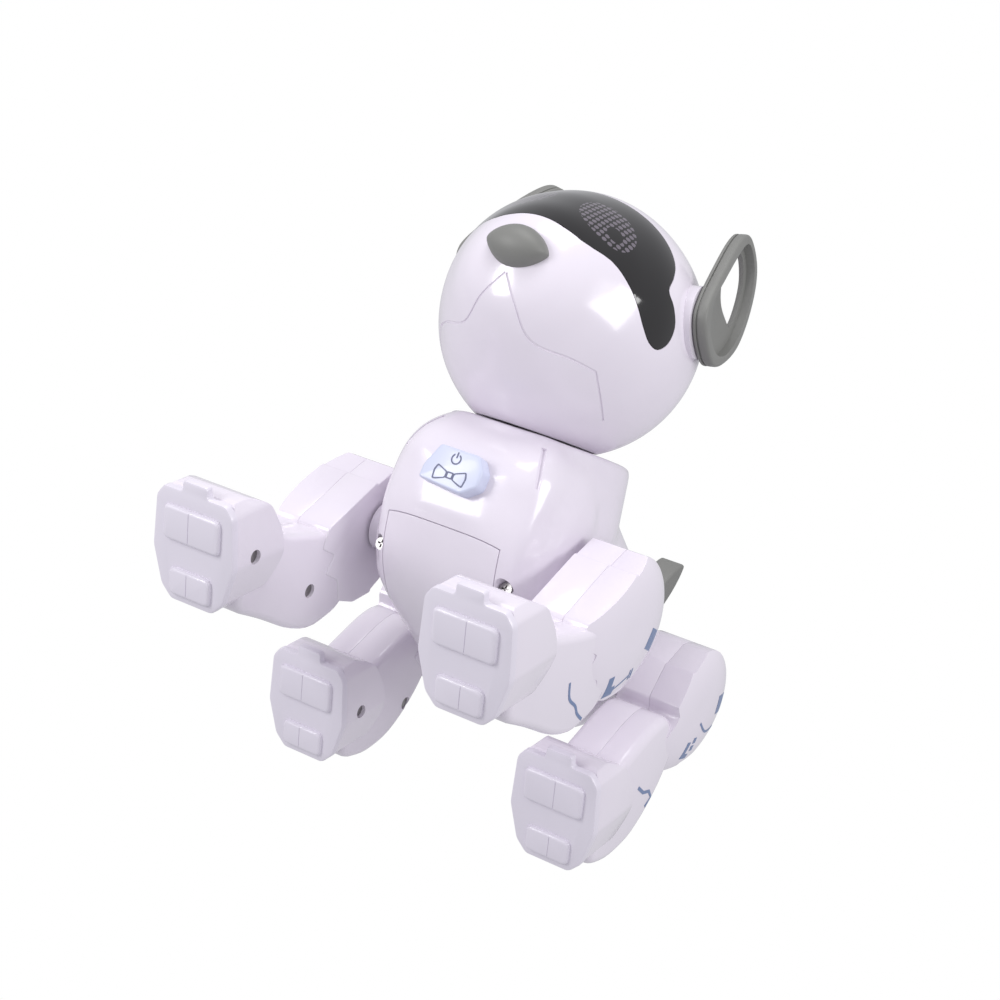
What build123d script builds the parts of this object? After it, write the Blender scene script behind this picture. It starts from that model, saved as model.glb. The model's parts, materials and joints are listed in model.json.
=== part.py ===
from build123d import *
from math import cos, radians, sin
import os

# Robot dog toy, millimetres. Z is up, the nose points along -Y and the dog's left side is +X.
# The origin lies on the ground under the middle of the bounding box.

# ---- driving dimensions -------------------------------------------------------------------
SWING = 38.0                 # how far the legs are swung forward from flat-footed standing
HEEL = 20.0                  # sole centre to heel edge
FOOT_X = 61.5                # lateral place of a foot
FOOT_Y = {"front": -101.5, "rear": 21.5}
SOLE_LIFT = 1.8              # sole plate above the faces of its pads
FOOT_Z = HEEL * sin(radians(SWING)) - SOLE_LIFT * cos(radians(SWING))
PIVOT = {"front": (13.0, 102.0), "rear": (-18.0, 95.0)}   # motor axis above the sole centre
HUB_R = 7.0                  # drive hub that carries a leg
RUN = 0.06                   # radial running clearance
GAP = 0.3                    # gap between pieces of different bodies
WALL = 2.4                   # shell wall
SEAM = 0.15                  # parting gap between two shells

BODY_HALF = 43.0             # widest half-width of the torso
SHELL_SPLIT = 100.0          # height of the torso's parting line

NECK = (0.0, -35.0, 141.0)   # centre of the neck collar
NECK_TILT = 26.0             # the collar leans forward by this angle
NECK_R = 38.5
POST_R = 10.0

HEAD = (0.0, -62.0, 180.0)   # widest place of the head
HEAD_DROOP = 15.3            # the muzzle points down by this angle
HEAD_R = 53.0
JAW_Z = 148.0                # parting height of the lower jaw

EAR = (52.0, -63.7, 196.5)    # ear swivel, where the soft ear starts
EAR_LEAN = 12.0              # the ears lean inwards at their tips
EAR_PIN_R = 4.0
EAR_THICK = 6.0
BUTTON = (0.0, -73.5, 95.5)  # middle of the button's rear face
BUTTON_LEAN = 18.0

os.makedirs("parts", exist_ok=True)
nodes = {}


# ---- small helpers ------------------------------------------------------------------------
def side_slab(points, low, high, radius=0.0):
    """A side-view outline in Y and Z, from x = low to x = high."""
    face = make_face(Polyline(*points, close=True))
    if radius:
        face = fillet(face.vertices(), radius)
    return Pos(low, 0, 0) * extrude(Plane.YZ * face, amount=high - low)


def side_round(points, low, high, shrink=1.0, centre=(0.0, 0.0)):
    """A smooth closed side-view outline through points, from x = low to x = high."""
    moved = [(centre[0] + shrink * (y - centre[0]), centre[1] + shrink * (z - centre[1]))
             for y, z in points]
    face = make_face(Spline(*moved, periodic=True))
    return Pos(low, 0, 0) * extrude(Plane.YZ * face, amount=high - low)


def lateral_rod(y, z, radius, low, high):
    """A cylinder along X."""
    middle = (low + high) / 2
    return Pos(middle, y, z) * Rot(0, 90, 0) * Cylinder(radius, high - low)


def save(name, shape):
    nodes[name] = shape


# ---- torso --------------------------------------------------------------------------------
TORSO_SIDE = [(-68, 122), (-76, 107), (-71, 90), (-62, 74), (-42, 58), (0, 50), (48, 54), (78, 72),
              (90, 98), (82, 122), (55, 137), (10, 141), (-30, 139), (-56, 131)]
TORSO_FRONT = [(0, 49), (24, 54), (36, 66), (42, 82), (BODY_HALF, 98), (40, 117), (30, 134),
               (0, 144), (-30, 134), (-40, 117), (-BODY_HALF, 98), (-42, 82), (-36, 66), (-24, 54)]


def torso_solid(inset):
    """The torso's outer form, or the same form moved inwards by inset."""
    side_scale = 1 - inset / 45.0
    side = side_round(TORSO_SIDE, -60, 60, side_scale, (6.0, 96.0))
    front_points = [(x * (1 - inset / BODY_HALF), 96 + (z - 96) * side_scale) for x, z in TORSO_FRONT]
    front = extrude(Plane.XZ * make_face(Spline(*front_points, periodic=True)), amount=110, both=True)
    return side & front


def neck_space():
    """Room over the neck plane, which the head turns in."""
    return Location(NECK, (NECK_TILT, 0, 0)) * Pos(0, 0, 29.5) * Cylinder(60, 60)


def leg_axis(end):
    """Y and Z of a leg's motor axis."""
    back, up = PIVOT[end]
    tilt = radians(SWING)
    y = FOOT_Y[end] + back * cos(tilt) + up * sin(tilt)
    z = FOOT_Z - back * sin(tilt) + up * cos(tilt)
    return y, z


def button_place():
    """The button's own frame: its Z points out of the chest."""
    return Location(BUTTON, (90 + BUTTON_LEAN, 0, 0))


def button_prism(grow, depth):
    """The six-sided outline of the button with clipped corners, grown all round."""
    outline = [(-13, -2), (-9, 7.5), (9, 7.5), (13, 2), (13, -4.5), (7, -9), (-13, -7.5)]
    face = make_face(Polyline(*outline, close=True))
    if grow:
        face = offset(face, grow, kind=Kind.INTERSECTION)
    else:
        face = fillet(face.vertices(), 1.2)
    return extrude(face, amount=depth)


def build_torso():
    outer = torso_solid(0) - neck_space()
    shell = outer - torso_solid(WALL)
    for end in ("front", "rear"):
        y, z = leg_axis(end)
        shell -= lateral_rod(y, z, 10.0, -60, 60)
    shell -= button_place() * Pos(0, 0, -14) * button_prism(GAP, 40)
    neck_bore = Location(NECK, (NECK_TILT, 0, 0)) * Cylinder(30, 60)
    shell -= neck_bore
    shell -= Pos(0, 88, 112) * Rot(55, 0, 0) * Cylinder(5.0, 30)       # tail socket
    shell -= Pos(0, 86, 78) * Box(10, 30, 4.6)                         # charging inlet
    for side in (-1, 1):
        shell -= belly_screw_place(side) * Cylinder(3.4, 30)

    hatch_zone = Pos(0, -40, 56) * Box(52, 110, 40)
    hatch = shell & hatch_zone
    rest = shell - Pos(0, -40, 56) * Box(52 + 2 * SEAM, 110 + 2 * SEAM, 40 + 2 * SEAM)
    upper_zone = Pos(0, 0, SHELL_SPLIT + 50 + SEAM) * Box(120, 260, 100)
    lower_zone = Pos(0, 0, SHELL_SPLIT - 50 - SEAM) * Box(120, 260, 100)
    save("torso_upper_shell", rest & upper_zone)
    save("torso_lower_shell", rest & lower_zone)
    save("battery_hatch", hatch)
    return outer


def belly_screw_place(side):
    """A screw boss low on the front of the torso, its axis square to the skin."""
    return Location((side * 29.5, -51.5, 66.0), (38, side * 32, 0))


def build_torso_inside():
    save("chassis_plate", Pos(0, 16, 111.5) * Box(56, 110, 3)
         - Pos(0, -35, 111.5) * Box(24, 22, 10))
    save("battery_pack", Pos(0, 16, 66) * Box(40, 58, 17))
    save("main_board", Pos(0, 34, 117) * Box(44, 60, 1.6) + Pos(6, 30, 119.3) * Box(12, 12, 3)
         + Pos(-10, 44, 119.3) * Box(8, 10, 3))
    save("speaker", Pos(0, 8, 85) * (Cylinder(11, 7) + Pos(0, 0, -5) * Cylinder(6, 4)))
    save("charging_inlet", Pos(0, 82, 78) * (Box(9.2, 10, 4) - Pos(0, 3, 0) * Box(7.6, 8, 2.6)))
    for end in ("front", "rear"):
        y, z = leg_axis(end)
        for label, side in (("left", 1), ("right", -1)):
            box = Pos(side * 21, y, z) * Box(25, 27, 19)
            can = lateral_rod(y + 2, z, 7.5, *sorted((side * 1.0, side * 8.5)))
            save(f"gear_motor_{end}_{label}", box + can)
    ring = None
    for end in ("front", "rear"):
        y, z = leg_axis(end)
        for side in (-1, 1):
            low, high = sorted((side * 37.5, side * 45.8))
            bush = lateral_rod(y, z, 10.0, low, high) - lateral_rod(y, z, HUB_R + RUN, low - 1, high + 1)
            ring = bush if ring is None else ring + bush
    save("leg_bushings", ring)
    screws = None
    for side in (-1, 1):
        screw = belly_screw_place(side) * Pos(0, 0, 4) * (Cylinder(3.0, 2.4) + Pos(0, 0, 4) * Cylinder(1.4, 8))
        screws = screw if screws is None else screws + screw
    save("torso_screws", screws)


def build_neck(torso):
    """Collar that the head turns on, and the bearing in its middle."""
    place = Location(NECK, (NECK_TILT, 0, 0))
    collar = place * Pos(0, 0, -15.5) * (Cone(NECK_R + 4, NECK_R, 31) - Cylinder(NECK_R - 4, 40))
    save("neck_collar", collar - torso)
    disc = Cylinder(29.6, 3) - Cylinder(POST_R + RUN, 10)
    save("neck_bearing", place * Pos(0, 0, -7) * disc)


def build_button():
    place = button_place()
    cap = place * Pos(0, 0, -1.5) * button_prism(0, 7.0)
    stem = place * Pos(0, 0, -4.5) * Cylinder(3, 6.2)
    save("power_button", cap + stem)
    switch = Pos(0, 0, -12.6) * Box(8, 8, 6) + Pos(0, 0, -16.8) * Box(24, 14, 1.6)
    save("button_switch", place * switch)


def build_tail():
    outline = [(86, 104), (94, 108), (108, 116), (120, 130), (128, 150), (132, 172), (129, 186),
               (122, 176), (116, 158), (106, 140), (94, 126), (82, 118)]
    blade = side_round(outline, -6.5, 6.5)
    blade -= torso_solid(0)
    plug = Pos(0, 88, 112) * Rot(55, 0, 0) * Cylinder(4.9, 18)
    save("tail", blade + (plug & Pos(0, 84, 110) * Box(30, 24, 24)) - Pos(0, 70, 100) * Box(40, 14, 60))


# ---- head ---------------------------------------------------------------------------------
HEAD_PROFILE = [(-51, 0), (-47, 22), (-36, 39.5), (-18, 50.5), (0, HEAD_R), (18, 50.5), (34, 42.5),
                (46, 33.5), (55, 25), (61, 15), (63.5, 0)]


def head_solid(inset):
    """Round head and muzzle as one body of revolution about a drooping axis."""
    scale = 1 - inset / HEAD_R
    points = [(r * scale, s * scale) for s, r in HEAD_PROFILE]
    tangents = [(1, 0), (-1, 0)]
    half = make_face(Spline(*points, tangents=tangents) + Line(points[-1], points[0]))
    ball = revolve(Plane.XZ * half, axis=Axis.Z)
    return Location(HEAD, (90 + HEAD_DROOP, 0, 0)) * ball


def neck_cut(lift):
    """Everything below the neck plane raised by lift."""
    return Location(NECK, (NECK_TILT, 0, 0)) * Pos(0, 0, lift - 60) * Box(200, 200, 120)


VISOR_SIDE = [(-114, 181), (-98, 174), (-88, 169), (-79, 171), (-78, 184), (-84, 189), (-89, 193),
              (-86, 203), (-92, 217), (-104, 222), (-122, 214), (-124, 190)]


def build_head():
    outer = head_solid(0)
    shell = outer - head_solid(WALL) - neck_cut(0.9)
    floor = (head_solid(WALL + 0.02) & neck_cut(3.4)) - neck_cut(0.9)
    floor -= Location(NECK, (NECK_TILT, 0, 0)) * Cylinder(POST_R, 40)
    visor_zone = side_slab(VISOR_SIDE, -70, 70, 3.0)
    save("visor", shell & visor_zone)
    shell -= visor_zone
    shell -= lateral_rod(EAR[1], EAR[2] - 1.2, EAR_PIN_R + 1.8, -70, 70)
    low_zone = Pos(0, -60, JAW_Z - 50 - SEAM) * Box(200, 200, 100)
    high_zone = Pos(0, -60, JAW_Z + 60 + SEAM) * Box(200, 200, 120)
    save("head_lower_shell", shell & low_zone)
    save("head_upper_shell", shell & high_zone)
    save("head_floor_plate", floor)
    nose = Pos(0, -124.1, 169) * Rot(20, 0, 0) * scale(Sphere(1), by=(10.5, 8.0, 6.8))
    save("nose", nose - outer)
    save("eye_displays", Pos(15, -101, 198) * Rot(-12, 0, 16) * Box(24, 2, 18)
         + Pos(-15, -101, 198) * Rot(-12, 0, -16) * Box(24, 2, 18))
    save("head_board", Pos(0, -52, 196) * Box(50, 44, 1.6) + Pos(0, -52, 202) * Box(14, 14, 10))
    save("touch_sensor", Pos(0, -62, 226.5) * Cylinder(12, 1.6))
    post = Location(NECK, (NECK_TILT, 0, 0)) * Pos(0, 0, -4) * Cylinder(POST_R, 30)
    save("neck_post", post)
    boss = lateral_rod(0, 0, 14.5, -20, -GAP) - lateral_rod(0, 0, EAR_PIN_R + RUN, -21, 1)
    save("ear_bosses", (at_ear(boss, 1) - outer) + (at_ear(boss, -1) - outer))
    save("ear_left", at_ear(build_ear(), 1))
    save("ear_right", at_ear(build_ear(), -1))


def at_ear(shape, side):
    """Carry a shape drawn about the left ear's swivel, x outwards, to the left or right ear."""
    placed = Pos(*EAR) * Rot(0, -EAR_LEAN, 0) * shape
    return placed if side > 0 else mirror(placed, about=Plane.YZ)


def build_ear():
    """Open loop of rubber on a ridged disc, with the pin that it swivels on."""
    leaf = [(12, -11.5), (22, -3), (30.5, 11), (33, 26.5), (30.5, 41), (24, 49), (13, 51.5), (3.5, 49),
            (-3, 39), (-9, 20), (-13, 2), (-11, -7), (-1, -11.8)]
    hole = [(7, 16), (16, 15.5), (25, 18), (26.5, 30), (23, 40.5), (13.5, 45), (5.5, 41), (1, 31), (1.5, 21)]
    loop = side_round(leaf, 0, EAR_THICK) - side_round(hole, -1, EAR_THICK + 1)
    pin = lateral_rod(0, 0, EAR_PIN_R, -16, 0)
    return loop + pin


# ---- legs, in a leg's own frame: x outwards, y towards the heel, z up from the sole -------
SOLE = [(-6, -30), (6, -30), (6, -25.5), (15, -25.5), (18.5, -21), (19.5, 0), (15, 15), (10, HEEL),
        (-10, HEEL), (-15, 15), (-19.5, 0), (-18.5, -21), (-15, -25.5), (-6, -25.5)]
PAW_SIDE = [(-24.5, 5), (-26.0, 14), (-21, 25), (-8, 32), (5, 33.5), (15, 28), (20, 16), (20, 5)]
SHIN_SIDE = {
    "front": [(-14, 24), (-1, 41), (5, 62), (8, 80), (30, 88), (43, 78), (46.5, 60), (42, 47), (31, 29),
              (22, 12), (10, 14)],
    "rear": [(-14, 24), (-24, 54), (-25, 68), (-6, 76), (8, 66), (17, 56), (24, 44), (26, 28), (22, 12),
             (8, 14)],
}
THIGH_SIDE = {
    "front": [(-11, 104), (-9, 94), (4, 70), (13, 66), (21, 73), (30, 70), (43, 77), (42, 88), (34, 108)],
    "rear": [(-43, 97), (-39, 82), (-26, 66), (-12, 60), (0, 68), (8, 72), (6, 84), (6, 97)],
}
THIGH_R = {"front": 23.0, "rear": 24.0}
SHIN_SCREW = {"front": (28.0, 57.0), "rear": (12.0, 56.0)}
THIGH_IN, THIGH_OUT = -14.5, 16.5
SHIN_HALF = 14.0
PAW_HALF = 18.5
PAW_SCREW = (-2.0, 16.0)


def sole_piece():
    plate = Pos(0, 0, SOLE_LIFT) * extrude(make_face(Polyline(*SOLE, close=True)), amount=3.2)
    toe_pad = Pos(0, -12, 1.4) * Box(27, 14, 2.8)
    heel_pad = Pos(0, 11.5, 1.4) * Box(20, 11, 2.8)
    for pad in (toe_pad, heel_pad):
        plate += fillet(pad.edges().filter_by(Axis.Z), 3.0)
    return plate


def screw_recess(y, z, surface):
    """A round recess on the inner side of the leg."""
    return lateral_rod(y, z, 3.3, surface - 1, surface + 2.6)


def screw_piece(y, z, surface):
    head = lateral_rod(y, z, 3.1, surface + 1.4, surface + 2.6)
    shank = lateral_rod(y, z, 1.5, surface + 2.6, surface + 12)
    return head + shank


def leg_pieces(end):
    """All pieces of one left leg in its own frame."""
    py, pz = PIVOT[end]
    sy, sz = SHIN_SCREW[end]
    wy, wz = PAW_SCREW
    thigh = side_slab(THIGH_SIDE[end], THIGH_IN, THIGH_OUT, 2.0)
    thigh += lateral_rod(py, pz, THIGH_R[end], THIGH_IN, THIGH_OUT)
    paw = side_slab(PAW_SIDE, -PAW_HALF, PAW_HALF, 4.0)
    shin = side_slab(SHIN_SIDE[end], -SHIN_HALF, SHIN_HALF, 3.0) - thigh - paw
    paw -= screw_recess(wy, wz, -PAW_HALF)
    paw -= lateral_rod(wy, wz, 1.5, -PAW_HALF, -PAW_HALF + 12)
    shin -= screw_recess(sy, sz, -SHIN_HALF)
    shin -= lateral_rod(sy, sz, 1.5, -SHIN_HALF, -SHIN_HALF + 12)
    cavity = lateral_rod(py, pz, THIGH_R[end] - 4, THIGH_IN + 2.5, THIGH_OUT - 2.5)
    thigh -= cavity + lateral_rod(py, pz, HUB_R, THIGH_IN - 1, THIGH_IN + 5)
    hub = lateral_rod(py, pz, HUB_R, 34.3 - FOOT_X, THIGH_IN + 2.5)
    hub += lateral_rod(py, pz, THIGH_R[end] - 4, THIGH_IN + 2.5, THIGH_IN + 5.5)
    middle = (THIGH_IN + THIGH_OUT) / 2
    inner_zone = Pos(middle - 50, 0, 90) * Box(100, 200, 200)
    outer_zone = Pos(middle + 50 + SEAM, 0, 90) * Box(100, 200, 200)
    return {
        "sole": sole_piece(),
        "paw": paw,
        "shin": shin,
        "thigh_inner": thigh & inner_zone,
        "thigh_outer": thigh & outer_zone,
        "hub": hub,
        "screws": screw_piece(wy, wz, -PAW_HALF) + screw_piece(sy, sz, -SHIN_HALF),
    }


def build_legs():
    for end in ("front", "rear"):
        pieces = leg_pieces(end)
        place = Location((FOOT_X, FOOT_Y[end], FOOT_Z), (-SWING, 0, 0))
        for name, shape in pieces.items():
            left = place * shape
            save(f"{end}_left_{name}", left)
            save(f"{end}_right_{name}", mirror(left, about=Plane.YZ))


# ---- build and write ----------------------------------------------------------------------
torso_outer = build_torso()
build_torso_inside()
build_neck(torso_outer)
build_button()
build_tail()
build_head()
build_legs()

for node_name, node_shape in nodes.items():
    export_step(node_shape, f"parts/{node_name}.step")

print(len(nodes), "nodes")
for leg_end in ("front", "rear"):
    axis_y, axis_z = leg_axis(leg_end)
    print(leg_end, "leg axis", round(axis_y, 3), round(axis_z, 3))
whole = Compound(children=[shape.moved(Location()) for shape in nodes.values()]).bounding_box()
print("box", [round(v, 2) for v in (*whole.min, *whole.max)])
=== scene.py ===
# %% [markdown]
# # A walking robot dog
# The toy is a white moulded dog with a black visor, soft grey ears and four motor driven
# legs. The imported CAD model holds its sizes, its joints and everything inside. This file
# gives it the surfaces that people see. It could be modelled as one smooth body, but the
# real toy is screwed together from shells, so every shell here is its own piece that rides
# on the CAD body it belongs to.

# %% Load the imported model
import bpy
import json
from math import atan2, cos, exp, hypot, pi, radians, sin
from mathutils import Euler, Matrix, Vector


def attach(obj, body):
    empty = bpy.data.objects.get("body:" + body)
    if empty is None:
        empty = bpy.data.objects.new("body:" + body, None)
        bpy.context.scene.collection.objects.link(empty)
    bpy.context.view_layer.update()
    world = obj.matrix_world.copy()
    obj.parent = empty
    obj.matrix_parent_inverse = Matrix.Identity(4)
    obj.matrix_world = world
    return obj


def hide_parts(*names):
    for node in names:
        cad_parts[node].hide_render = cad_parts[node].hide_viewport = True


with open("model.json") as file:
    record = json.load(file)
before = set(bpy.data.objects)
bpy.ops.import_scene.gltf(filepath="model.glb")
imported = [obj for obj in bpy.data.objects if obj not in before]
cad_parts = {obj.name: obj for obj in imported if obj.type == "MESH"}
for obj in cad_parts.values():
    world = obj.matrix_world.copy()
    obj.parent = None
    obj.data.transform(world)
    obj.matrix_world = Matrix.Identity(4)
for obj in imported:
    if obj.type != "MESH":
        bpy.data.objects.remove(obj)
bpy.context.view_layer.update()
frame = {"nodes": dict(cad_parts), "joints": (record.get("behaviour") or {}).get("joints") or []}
MM = 0.001

# %% [markdown]
# ## Places taken from the frame
# Each leg was drawn standing upright and then swung forward by its lean. The hinge of the
# leg and its lean give the place of the sole, so the looks follow the CAD if a hinge is
# moved. Sizes are in millimetres.

# %% Joints, lean and the legs' own frame
JOINTS = {joint["name"]: joint for joint in frame["joints"]}
LEG_LEAN = radians(38)
HINGE_ABOVE_SOLE = {"front": (13.0, 102.0), "rear": (-18.0, 95.0)}
FOOT_X = 61.5
lean = Matrix.Rotation(-LEG_LEAN, 4, "X")


def leg_place(end):
    """The matrix that carries a leg drawn upright, sole centre at the origin, to its place."""
    hinge = Vector(JOINTS[end + "_left_swing"]["pos_m"])
    above = Vector((0, *HINGE_ABOVE_SOLE[end])) * MM
    foot = hinge - lean @ above
    foot.x = FOOT_X * MM
    return Matrix.Translation(foot) @ lean


LEG_PLACE = {end: leg_place(end) for end in ("front", "rear")}
for end, place in LEG_PLACE.items():
    print(end, "foot at", [round(value, 4) for value in place.translation])

# %% [markdown]
# ## Tools of the bench
# Most pieces of a moulded toy are a side outline with thickness and rounded rims. It could
# be typed as vertices, but an outline that is extruded, bevelled and carved is how a mould
# maker would do it.


# %% Select, settle and clean
NO_DISTANCE = 0.00001


def deselect():
    """Leave edit mode and let go of everything."""
    if bpy.context.object and bpy.context.object.mode != "OBJECT":
        bpy.ops.object.mode_set(mode="OBJECT")
    bpy.ops.object.select_all(action="DESELECT")


def pick(piece):
    """Select one piece alone."""
    deselect()
    piece.select_set(True)
    bpy.context.view_layer.objects.active = piece


def clean(piece):
    """Merge doubles and turn every face outwards."""
    pick(piece)
    bpy.ops.object.mode_set(mode="EDIT")
    bpy.ops.mesh.select_all(action="SELECT")
    bpy.ops.mesh.remove_doubles(threshold=NO_DISTANCE)
    bpy.ops.mesh.normals_make_consistent(inside=False)
    bpy.ops.object.mode_set(mode="OBJECT")


def put(piece, place):
    """Carry a piece to its place and keep the place in its mesh."""
    pick(piece)
    piece.matrix_world = place
    bpy.ops.object.transform_apply(location=True, rotation=True, scale=True)


def modify(piece, kind, **settings):
    """Add one modifier and apply it at once."""
    pick(piece)
    modifier = piece.modifiers.new(kind.title(), kind)
    for name, value in settings.items():
        setattr(modifier, name, value)
    bpy.ops.object.modifier_apply(modifier=modifier.name)


def carve(piece, tool, operation="DIFFERENCE"):
    """Use one piece as a cutter on another and throw the cutter away."""
    modify(piece, "BOOLEAN", object=tool, operation=operation, solver="EXACT")
    bpy.data.objects.remove(tool)


def smooth_faces(piece, angle=32):
    """Shade smooth, except across edges sharper than an angle in degrees."""
    pick(piece)
    bpy.ops.object.shade_smooth_by_angle(angle=radians(angle))


def join(pieces, name):
    """Make several pieces into one mesh."""
    deselect()
    for piece in pieces:
        piece.select_set(True)
    bpy.context.view_layer.objects.active = pieces[0]
    bpy.ops.object.join()
    pieces[0].name = name
    return pieces[0]


def twin(piece, name):
    """A mirror image of a piece on the other side of the dog, with its own mesh."""
    pick(piece)
    bpy.ops.object.duplicate()
    other = bpy.context.object
    other.name = name
    other.scale.x = -1
    bpy.ops.object.transform_apply(location=True, rotation=True, scale=True)
    clean(other)
    return other


print("bench tools are ready")


# %% Outlines
def rounded(outline, radius, steps=4):
    """The outline with each corner replaced by a short curve."""
    result = []
    count = len(outline)
    for index in range(count):
        corner = Vector(outline[index])
        before = Vector(outline[index - 1]) - corner
        after = Vector(outline[(index + 1) % count]) - corner
        reach = min(radius, 0.45 * before.length, 0.45 * after.length)
        start = corner + before.normalized() * reach
        stop = corner + after.normalized() * reach
        for step in range(steps + 1):
            share = step / steps
            first = start.lerp(corner, share)
            second = corner.lerp(stop, share)
            result.append(tuple(first.lerp(second, share)))
    return result


def flowing(outline, steps=6, closed=True):
    """A smooth curve through all points of an outline."""
    result = []
    count = len(outline)
    spans = count if closed else count - 1
    for index in range(spans):
        if closed:
            four = [Vector(outline[(index + shift) % count]) for shift in (-1, 0, 1, 2)]
        else:
            four = [Vector(outline[max(0, min(count - 1, index + shift))])
                    for shift in (-1, 0, 1, 2)]
        before, start, stop, after = four
        for step in range(steps):
            share = step / steps
            bend = (stop - before) * share
            curve = 2 * before - 5 * start + 4 * stop - after
            twist = 3 * start - before - 3 * stop + after
            point = 0.5 * (2 * start + bend + curve * share ** 2 + twist * share ** 3)
            result.append(tuple(point))
    if not closed:
        result.append(tuple(outline[-1]))
    return result


def flat_face(name, outline, at, across="x"):
    """One flat face with the given outline, at one place along an axis."""
    deselect()
    bpy.ops.mesh.primitive_circle_add(vertices=len(outline), radius=1, fill_type="NGON")
    piece = bpy.context.object
    piece.name = name
    turn = {"x": lambda a, b: (at, a, b), "y": lambda a, b: (a, at, b),
            "z": lambda a, b: (a, b, at)}
    for vertex, point in zip(piece.data.vertices, outline):
        vertex.co = Vector(turn[across](*point)) * MM
    return piece


def slab(name, outline, low, high, across="x"):
    """An outline in the two other axes, extruded from low to high along one axis."""
    piece = flat_face(name, outline, low, across)
    step = Vector([high - low if axis == across else 0 for axis in "xyz"]) * MM
    bpy.ops.object.mode_set(mode="EDIT")
    bpy.ops.mesh.select_all(action="SELECT")
    bpy.ops.mesh.extrude_region_move(TRANSFORM_OT_translate={"value": step})
    bpy.ops.object.mode_set(mode="OBJECT")
    clean(piece)
    return piece


def soften_rim(piece, at, width, segments=3, across=0):
    """Bevel the edges of the flat face that lies at one value along axis 0, 1 or 2."""
    pick(piece)
    bpy.ops.object.mode_set(mode="EDIT")
    bpy.ops.mesh.select_mode(type="EDGE")
    bpy.ops.mesh.select_all(action="DESELECT")
    bpy.ops.object.mode_set(mode="OBJECT")
    points = piece.data.vertices
    for edge in piece.data.edges:
        edge.select = all(abs(points[end].co[across] - at * MM) < 2 * NO_DISTANCE
                          for end in edge.vertices)
    bpy.ops.object.mode_set(mode="EDIT")
    bpy.ops.mesh.bevel(offset=width * MM, segments=segments, clamp_overlap=True)
    bpy.ops.object.mode_set(mode="OBJECT")


def rod(name, start, stop, radius):
    """A round bar between two points, used for bosses and screw wells."""
    deselect()
    start, stop = Vector(start) * MM, Vector(stop) * MM
    bpy.ops.mesh.primitive_cylinder_add(vertices=32, radius=radius * MM,
                                        depth=(stop - start).length)
    piece = bpy.context.object
    piece.name = name
    turn = (stop - start).to_track_quat("Z", "Y").to_matrix().to_4x4()
    put(piece, Matrix.Translation((start + stop) / 2) @ turn)
    return piece


def ball(name, segments=96, rings=48):
    """A plain sphere of radius 1, whose points are then moved to their own shape."""
    deselect()
    bpy.ops.mesh.primitive_uv_sphere_add(segments=segments, ring_count=rings, radius=1)
    piece = bpy.context.object
    piece.name = name
    return piece


def shrunk(outline, amount):
    """The outline moved inwards by an amount, towards its middle."""
    middle = sum((Vector(point) for point in outline), Vector((0, 0))) / len(outline)
    return [tuple(Vector(point) + (middle - Vector(point)).normalized() * amount)
            for point in outline]


print("outline tools are ready")

# %% [markdown]
# ## Finishes
# The shells are glossy ABS with a faint cool tint, the ears are matt rubber, the visor is
# smoked acrylic. A flat colour would look like paper, so each finish mixes two close tones
# with noise and moves its roughness and its bump a little, as moulded plastic does.

# %% A maker for moulded finishes
CLOUD_SCALE = 60.0
COAT_ROUGHNESS = 0.06
BUMP_DEPTH = 0.0002


def moulded(name, light, dark, rough, spread, grain, bump, metal=0.0, coat=0.0):
    """A finish from two close tones, with grain in its roughness and bump."""
    finish = bpy.data.materials.new(name)
    finish.use_nodes = True
    nodes, links = finish.node_tree.nodes, finish.node_tree.links
    shader = nodes["Principled BSDF"]
    place, clouds, speckle, tone, gloss, relief = [
        nodes.new("ShaderNode" + kind)
        for kind in ("TexCoord", "TexNoise", "TexNoise", "Mix", "MapRange", "Bump")]
    tone.data_type = "RGBA"
    for node, socket, value in (
            (shader, "Metallic", metal), (shader, "Coat Weight", coat),
            (shader, "Coat Roughness", COAT_ROUGHNESS), (clouds, "Scale", CLOUD_SCALE),
            (clouds, "Detail", 3.0), (speckle, "Scale", grain), (speckle, "Detail", 2.0),
            (tone, "A", (*light, 1)), (tone, "B", (*dark, 1)), (gloss, "To Min", rough - spread),
            (gloss, "To Max", rough + spread), (relief, "Strength", bump),
            (relief, "Distance", BUMP_DEPTH)):
        node.inputs[socket].default_value = value
    for giver, outlet, taker, socket in (
            (place, "Object", clouds, "Vector"), (place, "Object", speckle, "Vector"),
            (clouds, "Fac", tone, "Factor"), (speckle, "Fac", gloss, "Value"),
            (speckle, "Fac", relief, "Height"), (tone, "Result", shader, "Base Color"),
            (gloss, "Result", shader, "Roughness"), (relief, "Normal", shader, "Normal")):
        links.new(giver.outputs[outlet], taker.inputs[socket])
    return finish


# Light tone, dark tone, roughness, its spread, scale of the grain, strength of the bump.
white_abs = moulded("white_abs", (0.83, 0.775, 0.86), (0.80, 0.745, 0.835),
                    0.2, 0.03, 900, 0.03, coat=0.35)
sole_abs = moulded("sole_abs", (0.80, 0.755, 0.85), (0.77, 0.725, 0.82),
                   0.3, 0.04, 900, 0.05, coat=0.15)
grey_rubber = moulded("grey_rubber", (0.225, 0.225, 0.215), (0.20, 0.20, 0.19),
                      0.5, 0.06, 1400, 0.15)
button_blue = moulded("button_blue", (0.66, 0.69, 0.86), (0.62, 0.655, 0.83),
                      0.3, 0.03, 900, 0.04, coat=0.2)
mark_blue = moulded("mark_blue", (0.175, 0.24, 0.42), (0.15, 0.21, 0.38),
                    0.35, 0.04, 1200, 0.04)
ink_navy = moulded("ink_navy", (0.06, 0.07, 0.18), (0.05, 0.06, 0.15), 0.35, 0.04, 1200, 0.04)
dark_plastic = moulded("dark_plastic", (0.035, 0.035, 0.038), (0.025, 0.025, 0.028),
                       0.4, 0.05, 900, 0.08)
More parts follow.
